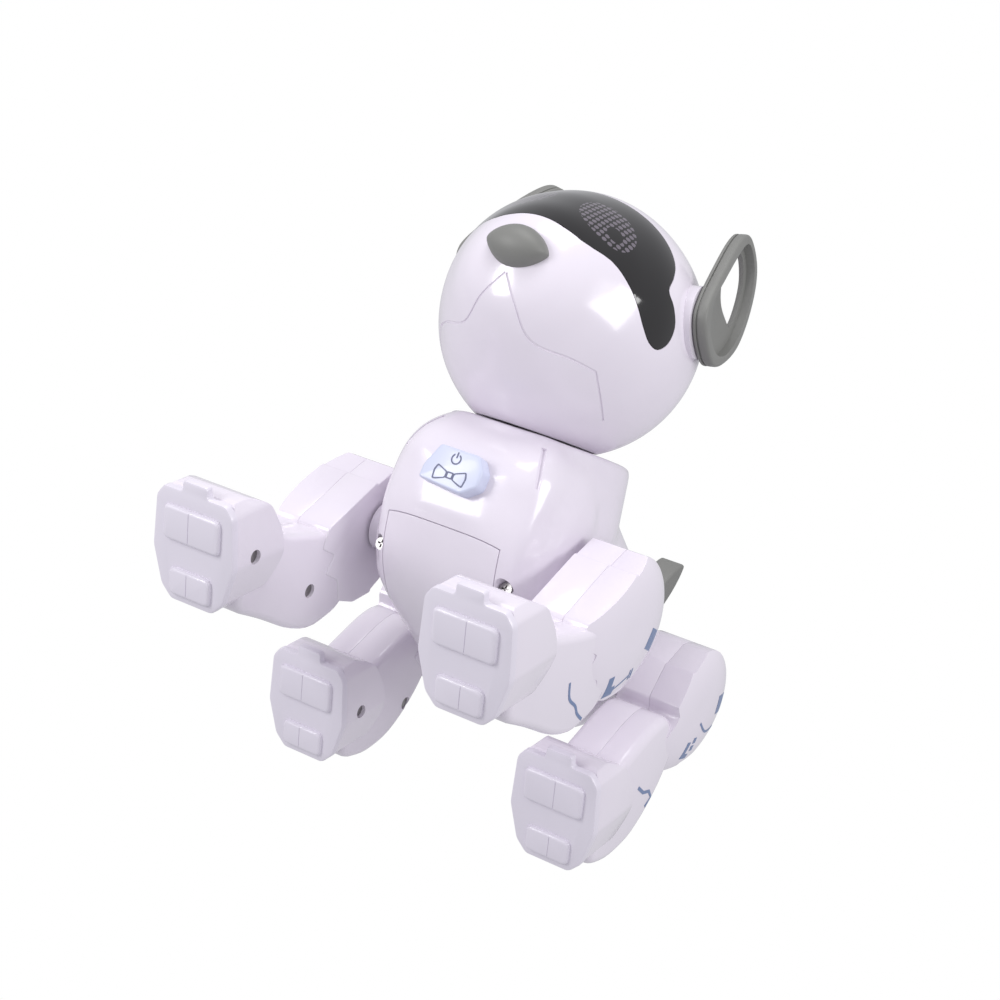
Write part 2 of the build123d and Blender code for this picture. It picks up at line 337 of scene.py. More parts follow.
screw_steel = moulded("screw_steel", (0.35, 0.34, 0.34), (0.27, 0.26, 0.26),
                      0.35, 0.06, 700, 0.1, metal=1.0)
motor_metal = moulded("motor_metal", (0.55, 0.55, 0.56), (0.46, 0.46, 0.47),
                      0.32, 0.06, 500, 0.1, metal=1.0)
board_green = moulded("board_green", (0.03, 0.16, 0.06), (0.02, 0.11, 0.04), 0.4, 0.05, 400, 0.1)
inner_abs = moulded("inner_abs", (0.55, 0.55, 0.56), (0.48, 0.48, 0.5), 0.45, 0.05, 800, 0.08)
print("plain finishes:", len(bpy.data.materials))

# %% [markdown]
# ## Smoked visor with dotted eyes
# Behind the visor sit small lamps in a square raster, which show as grey dots. They could
# be discs, but they lie behind the smooth acrylic, so its finish holds them.

# %% Visor finish
EYE_SIDE, EYE_FRONT, EYE_HEIGHT = 19.5, 103.0, 196.0
EYE_HALF = (12.5, 10.5)
EYE_SLANT = 0.25
EYE_SQUARENESS = 2.2
PUPIL_SIDE, PUPIL_RISE, PUPIL_RADIUS = 5.5, -2.5, 3.4
DOT_STEP = 2.4
DOT_RADIUS = 0.9
RASTER_SHIFT = 0.1
VISOR_SLOPE = radians(22)
LAMP_TINT = (0.15, 0.13, 0.16, 1)


def maths(nodes, links, operation, first, second=None, third=None):
    """One maths step between node outputs or plain numbers."""
    step = nodes.new("ShaderNodeMath")
    step.operation = operation
    for socket, value in zip(step.inputs, (first, second, third)):
        if value is None:
            continue
        if isinstance(value, (int, float)):
            socket.default_value = value
        else:
            links.new(value, socket)
    return step.outputs[0]


def smoked_visor():
    """A black gloss finish with two fields of grey dots, the same on both sides."""
    finish = moulded("smoked_visor", (0.008, 0.007, 0.008), (0.006, 0.005, 0.006),
                     0.06, 0.01, 900, 0.01, coat=0.6)
    nodes, links = finish.node_tree.nodes, finish.node_tree.links
    place = nodes.new("ShaderNodeTexCoord")
    split = nodes.new("ShaderNodeSeparateXYZ")
    links.new(place.outputs["Object"], split.inputs[0])

    def step(operation, *values):
        return maths(nodes, links, operation, *values)

    across = step("ABSOLUTE", split.outputs["X"])
    rise = step("ADD", step("MULTIPLY", split.outputs["Z"], cos(VISOR_SLOPE)),
                step("MULTIPLY", split.outputs["Y"], sin(VISOR_SLOPE)))
    centre_rise = (EYE_HEIGHT * cos(VISOR_SLOPE) - EYE_FRONT * sin(VISOR_SLOPE)) * MM
    sideways = step("SUBTRACT", across, EYE_SIDE * MM)
    upwards = step("SUBTRACT", rise, centre_rise)
    squares = []
    for way in (sideways, upwards):
        raster = step("FRACT", step("DIVIDE", step("ADD", way, RASTER_SHIFT), DOT_STEP * MM))
        squares.append(step("POWER", step("SUBTRACT", raster, 0.5), 2.0))
    dot = step("LESS_THAN", step("SQRT", step("ADD", *squares)), DOT_RADIUS / DOT_STEP)
    slanted = step("ADD", upwards, step("MULTIPLY", sideways, EYE_SLANT))
    powers = []
    for way, half in ((sideways, EYE_HALF[0]), (slanted, EYE_HALF[1])):
        share = step("ABSOLUTE", step("DIVIDE", way, half * MM))
        powers.append(step("POWER", share, EYE_SQUARENESS))
    field = step("LESS_THAN", step("ADD", *powers), 1.0)
    pupil_side = step("POWER", step("SUBTRACT", sideways, PUPIL_SIDE * MM), 2.0)
    pupil_rise = step("POWER", step("SUBTRACT", slanted, PUPIL_RISE * MM), 2.0)
    from_pupil = step("SQRT", step("ADD", pupil_side, pupil_rise))
    pupil = step("GREATER_THAN", from_pupil, PUPIL_RADIUS * MM)
    lamp = step("MULTIPLY", step("MULTIPLY", dot, field), pupil)
    tint = nodes.new("ShaderNodeMix")
    tint.data_type = "RGBA"
    shader = nodes["Principled BSDF"]
    links.new(shader.inputs["Base Color"].links[0].from_socket, tint.inputs["A"])
    tint.inputs["B"].default_value = LAMP_TINT
    links.new(lamp, tint.inputs["Factor"])
    links.new(tint.outputs["Result"], shader.inputs["Base Color"])
    return finish


visor_smoke = smoked_visor()
print("visor finish has", len(visor_smoke.node_tree.nodes), "nodes")


# %% Give a piece its finish and body
def finish_piece(piece, finish, body, slot, *stands_for):
    """Set what a piece is made of, rides on and stands for."""
    piece.data.materials.clear()
    piece.data.materials.append(finish)
    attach(piece, body)
    if stands_for:
        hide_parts(*stands_for)


print("joints that move:", sorted(JOINTS))

# %% [markdown]
# ## The body
# The body is a barrel of two shells that flows up into a neck sleeve. It could be lofted
# from sections, but a sphere pulled into the side outline, joined with a cone for the neck
# and remeshed gives the soft hollows where the two meet.

# %% Body outline and its pillow
BODY_SIDE = [(-66, 124), (-74, 108), (-71, 91), (-62, 74), (-42, 58), (0, 50), (48, 54), (78, 72),
             (90, 98), (82, 122), (55, 137), (10, 141), (-30, 139), (-54, 132)]
BODY_HALF = 43.0
BODY_CENTRE = Vector((5, 96))
BODY_REACH = 120.0
PILLOW = 4.0
BODY_FRONT = [(0, 49), (24, 54), (36, 66), (42, 82), (43.5, 98), (40, 117), (30, 134), (0, 144)]


def outline_reach(outline, centre, angle):
    """How far the outline is from the centre in one direction."""
    ray = Vector((cos(angle), sin(angle)))
    best = 0.0
    for index in range(len(outline)):
        start = Vector(outline[index - 1]) - centre
        side = Vector(outline[index]) - centre - start
        across = ray.x * side.y - ray.y * side.x
        if abs(across) < 1e-9:
            continue
        reach = (start.x * side.y - start.y * side.x) / across
        share = (start.x * ray.y - start.y * ray.x) / across
        if -1e-9 <= share <= 1 + 1e-9 and reach > best:
            best = reach
    return best


def pillow(name, outline, centre, half, power):
    """A sphere pulled into a side outline that tapers towards its two flanks."""
    piece = ball(name)
    for vertex in piece.data.vertices:
        out = vertex.co.copy()
        flat = hypot(out.x, out.y)
        side = atan2(out.y, out.x)
        width = half * abs(out.z) ** (2 / power) * (1 if out.z > 0 else -1)
        reach = outline_reach(outline, centre, side) * flat ** (2 / power)
        vertex.co = Vector((width, centre.x + cos(side) * reach, centre.y + sin(side) * reach)) * MM
    clean(piece)
    return piece


body = pillow("body", flowing(BODY_SIDE), BODY_CENTRE, BODY_HALF, PILLOW)
front_view = BODY_FRONT + [(-x, z) for x, z in reversed(BODY_FRONT[1:-1])]
carve(body, slab("front_view", flowing(front_view), -BODY_REACH, BODY_REACH, "y"), "INTERSECT")
print("pillow", [round(value / MM, 1) for value in body.dimensions])

# %% Neck cone joined and blended into the body
NECK_PLACE = Vector(JOINTS["head_turn"]["pos_m"])
NECK_AXIS = Vector(JOINTS["head_turn"]["axis"])
neck_turn = NECK_AXIS.to_track_quat("Z", "Y").to_matrix().to_4x4()
NECK_RADIUS = 38.5
NECK_FLARE = 42.5
NECK_LENGTH = 31.0
NECK_GAP = 0.4
SKIN_GRAIN = 1.3


def neck_cone():
    """The flared sleeve below the head, from deep in the body to just under the head's rim."""
    deselect()
    low, high = -NECK_LENGTH, -NECK_GAP
    bpy.ops.mesh.primitive_cone_add(vertices=96, radius1=NECK_FLARE * MM, radius2=NECK_RADIUS * MM,
                                    depth=(high - low) * MM)
    cone = bpy.context.object
    put(cone, Matrix.Translation(NECK_PLACE + NECK_AXIS * (low + high) / 2 * MM) @ neck_turn)
    return cone


carve(body, neck_cone(), "UNION")
modify(body, "REMESH", mode="VOXEL", voxel_size=SKIN_GRAIN * MM, adaptivity=0.0)
modify(body, "SMOOTH", factor=0.5, iterations=24)
print("blended body has", len(body.data.polygons), "faces")


# %% Press channels and raise pads by moving the skin
def distance_to_path(point, path):
    """How far a point is from a bent line."""
    best = 1e9
    for start, stop in zip(path, path[1:]):
        along = stop - start
        share = max(0.0, min(1.0, (point - start).dot(along) / along.length_squared))
        best = min(best, (point - start - along * share).length)
    return best


def press(piece, path, width, depth):
    """Move the skin near a path and its mirror image in, or out where depth is negative."""
    path = [Vector(point) * MM for point in path]
    width *= MM
    depth *= MM
    for vertex in piece.data.vertices:
        point = vertex.co.copy()
        point.x = abs(point.x)
        near = distance_to_path(point, path)
        if near < 3 * width:
            vertex.co -= vertex.normal * depth * exp(-(near / width) ** 2)


FLANK_CHANNEL = [(31, -56, 122), (38, -56, 108), (38, -56, 92), (36, -50, 78), (34, -42, 66)]
FLANK_RIDGE = [(41, -40, 122), (43, -38, 108), (43, -38, 92), (42, -32, 76)]
press(body, FLANK_CHANNEL, width=5.0, depth=1.8)
press(body, FLANK_RIDGE, width=5.0, depth=-0.8)
print("flanks are shaped")

# %% Chest steps beside the button
CHEST_STEP = [(13, -57, 119), (15, -64, 111), (13.5, -70, 103)]
CHEST_PAD = [(21, -62, 119), (24, -66, 111), (24, -69, 103)]
press(body, CHEST_PAD, width=6.0, depth=-1.6)
press(body, CHEST_STEP, width=2.0, depth=1.6)
modify(body, "SMOOTH", factor=0.5, iterations=10)
print("chest is shaped")

# %% Grooves that follow the skin
RAY_START = 25.0


def follow_groove(piece, path, radius, middle):
    """A thin tube that lies half in the surface along a path, to cut a groove with."""
    deselect()
    curve = bpy.data.curves.new("groove", "CURVE")
    curve.dimensions = "3D"
    curve.bevel_depth = radius * MM
    curve.bevel_resolution = 1
    curve.use_fill_caps = True
    line = curve.splines.new("POLY")
    fine = flowing(path, 5, closed=False)
    line.points.add(len(fine) - 1)
    for dot, point in zip(line.points, fine):
        inward = (middle - Vector(point)).normalized()
        found, hit, _, _ = piece.ray_cast((Vector(point) - inward * RAY_START) * MM, inward)
        dot.co = (*(hit if found else Vector(point) * MM), 1)
    tube = bpy.data.objects.new("groove", curve)
    bpy.context.collection.objects.link(tube)
    pick(tube)
    bpy.ops.object.convert(target="MESH")
    clean(bpy.context.object)
    return bpy.context.object


def cut_grooves(piece, paths, radius, middle):
    """Cut grooves along paths and along their mirror images."""
    tubes = []
    for path in paths:
        tubes.append(follow_groove(piece, path, radius, middle))
        mirrored = [(-x, y, z) for x, y, z in path]
        tubes.append(follow_groove(piece, mirrored, radius, middle))
    for tube in tubes:
        carve(piece, tube)


CHEST_SLOT = [(21.5, -63, 118.5), (24, -62, 110), (26.5, -60.6, 102)]
CHEST_MIDDLE = Vector((0, -10, 105))
SLOT_RADIUS = 1.2
cut_grooves(body, [CHEST_SLOT], SLOT_RADIUS, CHEST_MIDDLE)
print("body with slots:", len(body.data.polygons), "faces")

# %% Tools to split a piece with
def block(name, low, high):
    """A plain block between two corners, used only as a cutter."""
    outline = [(low[1], low[2]), (high[1], low[2]), (high[1], high[2]), (low[1], high[2])]
    return slab(name, outline, low[0], high[0])


def copy_of(piece, name):
    """A second piece with its own mesh in the same place."""
    pick(piece)
    bpy.ops.object.duplicate()
    other = bpy.context.object
    other.name = name
    return other


def keep_side(piece, height, upper):
    """Cut a piece level at a height, keep one side of it and close the cut."""
    pick(piece)
    bpy.ops.object.mode_set(mode="EDIT")
    bpy.ops.mesh.select_all(action="SELECT")
    bpy.ops.mesh.bisect(plane_co=(0, 0, height * MM), plane_no=(0, 0, 1), use_fill=True,
                        clear_inner=upper, clear_outer=not upper)
    bpy.ops.object.mode_set(mode="OBJECT")


def break_edges(piece, width, angle=50):
    """Round the edges that are sharper than an angle in degrees."""
    modify(piece, "BEVEL", width=width * MM, segments=2, limit_method="ANGLE",
           angle_limit=radians(angle))


print("splitting tools are ready")

# %% Belly screws in their wells
WELL_SIDE, WELL_FRONT, WELL_HEIGHT = 29.5, -80.0, 56.5
WELL_INWARD = Vector((0, 0.949, 0.316))
WELL_RADIUS = 3.1
WELL_DEPTH = 3.5
SCREW_SUNK = 2.2
SCREW_RADIUS = 2.7
SCREW_CROSS = [(-0.35, -1.7), (0.35, -1.7), (0.35, 1.7), (-0.35, 1.7)]


def belly_screw(x):
    """Sink a screw well into the body and lay a crosshead screw on its floor."""
    outside = Vector((x, WELL_FRONT, WELL_HEIGHT))
    hit = body.ray_cast(outside * MM, WELL_INWARD)[1] / MM
    carve(body, rod("well", hit - WELL_INWARD * 10, hit + WELL_INWARD * WELL_DEPTH, WELL_RADIUS))
    face = hit + WELL_INWARD * SCREW_SUNK
    head = rod("screw", face, hit + WELL_INWARD * (WELL_DEPTH + 0.5), SCREW_RADIUS)
    facing = WELL_INWARD.to_track_quat("Z", "X").to_matrix().to_4x4()
    for turn in (0, 90):
        slot = slab("slot", SCREW_CROSS, -0.5, 1.0, "z")
        put(slot, Matrix.Translation(face * MM) @ facing @ Matrix.Rotation(radians(turn), 4, "Z"))
        carve(head, slot)
    return head


screw_heads = join([belly_screw(-WELL_SIDE), belly_screw(WELL_SIDE)], "belly_screw_heads")
finish_piece(screw_heads, screw_steel, "torso", "screw_steel", "torso_screws")
print("body with wells:", len(body.data.polygons), "faces")

# %% Split the body into its shells and hatch
SHELL_SPLIT = 100.0
HATCH_HALF, HATCH_BACK, HATCH_TOP = 26.0, 15.0, 76.0
HATCH_FRONT, HATCH_LOW = -95.0, 30.0
HATCH_EDGE = 0.3
SEAM = 0.35

hatch = copy_of(body, "belly_hatch")
zone = block("zone", (-HATCH_HALF, HATCH_FRONT, HATCH_LOW), (HATCH_HALF, HATCH_BACK, HATCH_TOP))
carve(hatch, zone, "INTERSECT")
break_edges(hatch, HATCH_EDGE)
opening = HATCH_HALF + SEAM
carve(body, block("zone", (-opening, HATCH_FRONT - 1, HATCH_LOW),
                  (opening, HATCH_BACK + SEAM, HATCH_TOP + SEAM)))
print("body without hatch:", len(body.data.polygons), "faces")
lower = copy_of(body, "body_lower_shell")
keep_side(lower, SHELL_SPLIT, False)
keep_side(body, SHELL_SPLIT, True)
body.name = "body_upper_shell"
for piece in (body, lower, hatch):
    smooth_faces(piece, 35)
finish_piece(body, white_abs, "torso", "white_shell", "torso_upper_shell", "neck_collar")
finish_piece(lower, white_abs, "torso", "white_shell", "torso_lower_shell")
finish_piece(hatch, white_abs, "torso", "white_shell", "battery_hatch")
print("body shells:", [len(piece.data.polygons) for piece in (body, lower, hatch)])

# %% [markdown]
# ## The head
# The head is a smooth egg that droops forward. It could be sculpted, but its profile is
# nearly round about its own long axis, so a sphere is pulled along a profile. Then the
# neck is cut off flat, the wall is given its thickness and the visor is cut out of it.

# %% Egg of the head
HEAD_CENTRE = Vector((0, -62, 180))
HEAD_DROOP = radians(15.3)
HEAD_PROFILE = [(-51, 0), (-47, 22), (-36, 39.5), (-18, 50.5), (0, 53), (18, 50.5), (34, 42.5),
                (46, 33.5), (55, 25), (61, 15), (63.5, 0)]
HEAD_WALL = 2.4


def head_egg():
    """A sphere pulled along the head's profile, about an axis that droops forward."""
    egg = ball("head_egg", 128, 96)
    profile = flowing(HEAD_PROFILE, 12, closed=False)
    lengths = [0.0]
    for start, stop in zip(profile, profile[1:]):
        lengths.append(lengths[-1] + hypot(stop[0] - start[0], stop[1] - start[1]))
    axis = Vector((0, -cos(HEAD_DROOP), -sin(HEAD_DROOP)))
    up = Vector((0, -sin(HEAD_DROOP), cos(HEAD_DROOP)))
    for vertex in egg.data.vertices:
        out = vertex.co.copy()
        along = atan2(hypot(out.x, out.y), out.z) / pi * lengths[-1]
        index = max(i for i, value in enumerate(lengths[:-1]) if value <= along + 1e-9)
        share = (along - lengths[index]) / (lengths[index + 1] - lengths[index])
        station, radius = Vector(profile[index]).lerp(Vector(profile[index + 1]), min(1.0, share))
        side = atan2(out.y, out.x)
        ring = Vector((cos(side), 0, 0)) + up * sin(side)
        vertex.co = (HEAD_CENTRE + axis * station + ring * max(0.0, radius)) * MM
    clean(egg)
    return egg


skull = head_egg()
pick(skull)
bpy.ops.object.mode_set(mode="EDIT")
bpy.ops.mesh.select_all(action="SELECT")
cut_at = NECK_PLACE + NECK_AXIS * NECK_GAP * MM
bpy.ops.mesh.bisect(plane_co=cut_at, plane_no=NECK_AXIS, clear_inner=True, use_fill=False)
bpy.ops.object.mode_set(mode="OBJECT")
modify(skull, "SOLIDIFY", thickness=HEAD_WALL * MM, offset=-1.0)
print("head", [round(value / MM, 1) for value in skull.dimensions])

# %% Visor cut out of the head
VISOR_SIDE = [(-122, 183.5), (-110, 182.5), (-103, 179.5), (-96, 175), (-90, 171), (-84, 168.5),
              (-79, 169.5), (-76.8, 175), (-78.5, 182), (-83.5, 187.5), (-88, 191), (-87, 198),
              (-86.5, 205), (-89, 212), (-95, 218), (-104, 222), (-120, 224), (-135, 204)]
VISOR_MIDDLE = Vector((-100, 195))
VISOR_GAP = 0.15
VISOR_REACH = 75.0


def visor_zone(swell):
    """The side view of the visor as a cutter right across the head."""
    moved = []
    for point in flowing(VISOR_SIDE, 4):
        outward = (Vector(point) - VISOR_MIDDLE).normalized()
        moved.append(tuple(Vector(point) + outward * swell))
    return slab("zone", moved, -VISOR_REACH, VISOR_REACH)


visor = copy_of(skull, "visor_shield")
carve(visor, visor_zone(-VISOR_GAP), "INTERSECT")
carve(skull, visor_zone(VISOR_GAP))
print("visor", [round(value / MM, 1) for value in visor.dimensions])

# %% Lines of the snout and jaw
SNOUT_LINE = [(0.3, -123, 157), (7, -112, 151), (14, -101, 145), (28, -94, 146), (37, -87, 147)]
CHEEK_LINE = [(37, -87, 147), (38, -75, 143), (39, -63.5, 139)]
LINE_RADIUS = 0.5
cut_grooves(skull, [SNOUT_LINE, CHEEK_LINE], LINE_RADIUS, HEAD_CENTRE)
smooth_faces(skull, 30)
smooth_faces(visor, 30)
skull.name = "head_shell"
finish_piece(skull, white_abs, "head", "white_shell", "head_upper_shell", "head_lower_shell")
finish_piece(visor, visor_smoke, "head", "visor_black", "visor")
print("head shell faces", len(skull.data.polygons))

# %% [markdown]
# ## Nose
# The nose is a wide grey lens with pointed corners. A plain ellipsoid would look like a
# pill, so the sphere's height is drawn in towards both corners.

# %% Nose lens
NOSE_PLACE = Vector((0, -123.6, 168.5))
NOSE_HALF = (13.5, 8.5, 8.6)
NOSE_TURN = radians(20)
NOSE_POINTED = 0.28


def nose_lens():
    """A sphere drawn in towards both corners."""
    lens = ball("nose_lens", 64, 32)
    for vertex in lens.data.vertices:
        out = vertex.co.copy()
        taper = (1 - min(1.0, abs(out.x)) ** 2) ** NOSE_POINTED if abs(out.x) < 1 else 0.0
        vertex.co = Vector((out.x * NOSE_HALF[0], out.y * NOSE_HALF[1],
                            out.z * NOSE_HALF[2] * taper)) * MM
    clean(lens)
    turn = Matrix.Rotation(NOSE_TURN, 4, "X")
    put(lens, Matrix.Translation(NOSE_PLACE * MM) @ turn)
    return lens


nose = nose_lens()
smooth_faces(nose, 60)
finish_piece(nose, grey_rubber, "head", "grey_rubber", "nose")
print("nose faces", len(nose.data.polygons))

# %% [markdown]
# ## Ears
# Each ear is a soft loop, closed by a thin web low down where its pin sits. It could be a
# bent tube, but the loop is deeper than it is thick, so an outline with an inner outline
# cut away keeps its flat band. It is drawn about its pin and then leaned inwards.

# %% Ear loop and its web
EAR_OUTER = [(12, -11.5), (22, -3), (30.5, 11), (33, 26.5), (30.5, 41), (24, 49), (13, 51.5),
             (3.5, 49), (-3, 39), (-9, 20), (-13, 2), (-11, -7), (-1, -11.8)]
EAR_CUP = [(-9.2, 4), (-4, -6), (9, -7.3), (19.5, -0.5), (26.5, 12), (29, 26), (26.8, 38.5),
           (21.5, 45.5), (13, 48), (6, 46), (0.8, 37), (-5.3, 19)]
EAR_HOLE = [(7, 16), (16, 15.5), (25, 18), (26.5, 30), (23, 40.5), (13.5, 45), (5.5, 41), (1, 31),
            (1.5, 21)]
EAR_THICK = 6.0
EAR_WEB = 2.2
EAR_LINE_LOW, EAR_LINE_HIGH, EAR_LINE_DEPTH = 1.5, 2.1, 0.7
ear_axis = Vector(JOINTS["ear_left_swivel"]["axis"])
EAR_PLACE = (Matrix.Translation(Vector(JOINTS["ear_left_swivel"]["pos_m"]))
             @ Matrix.Rotation(-atan2(ear_axis.z, ear_axis.x), 4, "Y"))


def ear_loop():
    """The left ear with its cup, its hole and a fine line round its band."""
    ear = slab("ear", flowing(EAR_OUTER, 6), 0, EAR_THICK)
    soften_rim(ear, EAR_THICK, 1.2)
    soften_rim(ear, 0, 0.8)
    carve(ear, slab("cup", flowing(EAR_CUP, 6), EAR_WEB, EAR_THICK + 5))
    carve(ear, slab("hole", flowing(EAR_HOLE, 6), -5, EAR_THICK + 5))
    line = slab("line", flowing(shrunk(EAR_OUTER, -2), 6), EAR_LINE_LOW, EAR_LINE_HIGH)
    carve(line, slab("core", flowing(shrunk(EAR_OUTER, EAR_LINE_DEPTH), 6), 1.0, 3.0))
    carve(ear, line)
    break_edges(ear, 0.35)
    put(ear, EAR_PLACE)
    smooth_faces(ear, 40)
    return ear


ear_left = ear_loop()
ear_left.name = "ear_left_loop"
ear_right = twin(ear_left, "ear_right_loop")
smooth_faces(ear_right, 40)
finish_piece(ear_left, grey_rubber, "ear_left", "grey_rubber", "ear_left")
finish_piece(ear_right, grey_rubber, "ear_right", "grey_rubber", "ear_right")
print("ear faces", len(ear_left.data.polygons))

# %% [markdown]
# ## Tail
# The tail is a soft curved leaf, folded like a gutter so that it stays light. It could be
# a bent tube, but a side outline with softened rims and a channel cut along its back gives
# the folded leaf.

# %% Tail leaf
TAIL_SIDE = [(86, 104), (94, 108), (108, 116), (120, 130), (128, 150), (131.8, 172), (129, 186),
             (122, 176), (116, 158), (106, 140), (94, 126), (82, 118)]
TAIL_HALF = 6.4
TAIL_WALL = 2.2
CHANNEL_SIDE = [(100, 98), (114, 108), (127, 124), (135, 148), (139, 172), (133, 180), (127.5, 168),
                (121, 151), (111, 133), (100, 121), (94, 112)]
tail = slab("tail_leaf", flowing(TAIL_SIDE, 5), -TAIL_HALF, TAIL_HALF)
soften_rim(tail, TAIL_HALF, 1.8)
soften_rim(tail, -TAIL_HALF, 1.8)
carve(tail, slab("channel", flowing(CHANNEL_SIDE, 5), -TAIL_HALF + TAIL_WALL, TAIL_HALF - TAIL_WALL))
break_edges(tail, 0.4)
smooth_faces(tail, 40)
finish_piece(tail, grey_rubber, "torso", "grey_rubber", "tail")
print("tail faces", len(tail.data.polygons))

# %% [markdown]
# ## Chest button
# The button is a pale cap with cut corners and a wide bevel. Its sign could be painted in
# the finish, but thin raised shapes keep a clean edge.

# %% Button cap
BUTTON_TILT = radians(108)
BUTTON_PLACE = (Matrix.Translation(Vector((0, -73.5, 95.5)) * MM)
                @ Matrix.Rotation(BUTTON_TILT, 4, "X"))
BUTTON_OUTLINE = [(-13, -2), (-9, 7.5), (9, 7.5), (13, 2), (13, -4.5), (7, -9), (-13, -7.5)]
BUTTON_LOW, BUTTON_TOP = -1.5, 5.5

cap = slab("button_cap", rounded(BUTTON_OUTLINE, 1.2, 3), BUTTON_LOW, BUTTON_TOP, "z")
soften_rim(cap, BUTTON_TOP, 1.6, 3, across=2)
put(cap, BUTTON_PLACE)
smooth_faces(cap, 30)
finish_piece(cap, button_blue, "power_button", "button_plastic", "power_button")

# %% Power sign and bow on the button
INK_LOW, INK_HIGH = BUTTON_TOP - 0.2, BUTTON_TOP + 0.12
RING_OUTER, RING_INNER = 2.3, 1.7
SIGN_RISE, BOW_RISE = 3.4, -3.2
SIGN_BAR = [(-0.3, 0.4), (0.3, 0.4), (0.3, 2.8), (-0.3, 2.8)]
BOW_WING = [(1.3, 1.0), (6.6, 3.0), (7.6, 0.4), (7.0, -3.4), (5.4, -3.2), (1.3, -1.6)]
BOW_KNOT = [(-1.5, -1.6), (1.5, -1.6), (1.5, 1.2), (-1.5, 1.2)]


def ring_band(name, outer, inner):
    """A flat band of ink between two outlines."""
    band = slab(name, outer, INK_LOW, INK_HIGH, "z")
    carve(band, slab("core", inner, INK_LOW - 1, INK_HIGH + 1, "z"))
    return band


def power_sign():
    """An open ring with a bar in its gap."""
    turns = [radians(125 + step * 15.5) for step in range(20)]
    arc = [(RING_OUTER * cos(turn), RING_OUTER * sin(turn)) for turn in turns]
    back = [(RING_INNER * cos(turn), RING_INNER * sin(turn)) for turn in turns]
    sign = slab("arc", arc + back[::-1], INK_LOW, INK_HIGH, "z")
    sign = join([sign, slab("bar", SIGN_BAR, INK_LOW, INK_HIGH, "z")], "power_sign")
    put(sign, Matrix.Translation(Vector((0, SIGN_RISE, 0)) * MM))
    return sign


def bow_sign():
    """Two open wings and a knot."""
    wing = ring_band("wing", rounded(BOW_WING, 0.8), rounded(shrunk(BOW_WING, 0.75), 0.6))
    other = twin(wing, "other_wing")
    knot = ring_band("knot", rounded(BOW_KNOT, 0.5), rounded(shrunk(BOW_KNOT, 0.8), 0.3))
    bow = join([wing, other, knot], "bow_sign")
    put(bow, Matrix.Translation(Vector((0, BOW_RISE, 0)) * MM))
    return bow


ink = join([power_sign(), bow_sign()], "button_ink")
put(ink, BUTTON_PLACE)
finish_piece(ink, ink_navy, "power_button", "button_plastic")
print("button faces", len(cap.data.polygons), "ink faces", len(ink.data.polygons))

# %% [markdown]
# ## Legs
# Every leg part is moulded in two halves that meet in a fine seam. It could be one block,
# but drawing each half with its own rims gives the seam for free. The parts are drawn
# upright, then swung to their place and mirrored.

# %% Halves with a seam
SEAM_EDGE = 0.3


def two_halves(name, outline, low, middle, high, inner_rim, outer_rim):
    """Two halves of a side outline, with broad outer rims and a fine seam between them."""
    halves = []
    for start, stop, face, rim in ((low, middle, low, inner_rim), (middle, high, high, outer_rim)):
        half = slab(name, outline, start, stop)
        soften_rim(half, face, rim, 4)
        soften_rim(half, middle, SEAM_EDGE, 2)
        halves.append(half)
    return halves


print("halves meet in a seam of", 2 * SEAM_EDGE, "mm")

# %% Thigh, shin, paw and sole outlines
THIGH_TOP = {"front": (23.5, 160, 28), "rear": (24.0, 176, 10)}
THIGH_SKIRT = {
    "front": [(42.5, 98), (43, 86), (39, 76), (29, 74.5), (24, 66.5), (17, 71.5), (12, 63.5), (4, 67),
              (-7, 98)],
    "rear": [(6.5, 84), (5, 70), (0, 68), (-9, 60), (-15, 66), (-22, 72.5), (-27, 71), (-39, 83)],
}


def thigh_side(end):
    """The side view of a thigh: a round top about the hinge and a stepped skirt."""
    radius, start, stop = THIGH_TOP[end]
    hinge = Vector(HINGE_ABOVE_SOLE[end])
    turns = [radians(start + (stop - start) * step / 15) for step in range(16)]
    top = [tuple(hinge + Vector((cos(turn), sin(turn))) * radius) for turn in turns]
    return top + rounded(THIGH_SKIRT[end], 1.2, 2)


SHIN_SIDE = {
    "front": [(-14, 24), (-1, 41), (5, 62), (8, 80), (30, 88), (43, 78), (46.5, 60), (42, 47), (31, 29),
              (22, 12), (10, 14)],
    "rear": [(-14, 24), (-24, 54), (-25, 68), (-6, 76), (8, 66), (17, 56), (24, 44), (26, 28), (22, 12),
             (8, 14)],
}
PAW_SIDE = [(-25, 5), (-26, 14), (-21, 25), (-8, 32), (5, 33.5), (15, 28), (20, 16), (20, 5)]
HALF_PLAN = [(6, -30), (6, -25.5), (15, -25.5), (18.5, -21), (19.5, 0), (15, 15), (10, 20)]
SHIN_SCREW = {"front": (28, 57), "rear": (12, 56)}
PAW_SCREW = (-2, 16)
LEG_WELL_RADIUS = 2.9
THIGH_LOW, LEG_SPLIT, THIGH_HIGH = -14.5, 1.0, 16.5
SHIN_HALF = 14.0
SOLE_LOW, SOLE_HIGH = 1.8, 5.0
DOME = {"front": ((17, 95), (33, 38)), "rear": ((-18, 90), (31, 37))}
DOME_HEIGHT = 15.6


def dome_outer(piece, end):
    """Round the outer half of a thigh over, so that it turns smoothly from front to side."""
    (y, z), (reach_y, reach_z) = DOME[end]
    dome = ball("dome")
    for vertex in dome.data.vertices:
        out = vertex.co.copy()
        flat = max(1e-6, hypot(out.x, out.y))
        swell = min(1.0, flat) ** 0.75 / flat
        height = abs(out.z) ** 0.8 * (1 if out.z > 0 else -1)
        vertex.co = Vector((LEG_SPLIT + DOME_HEIGHT * height, y + reach_y * out.x * swell,
                            z + reach_z * out.y * swell)) * MM
    clean(dome)
    carve(piece, dome, "INTERSECT")


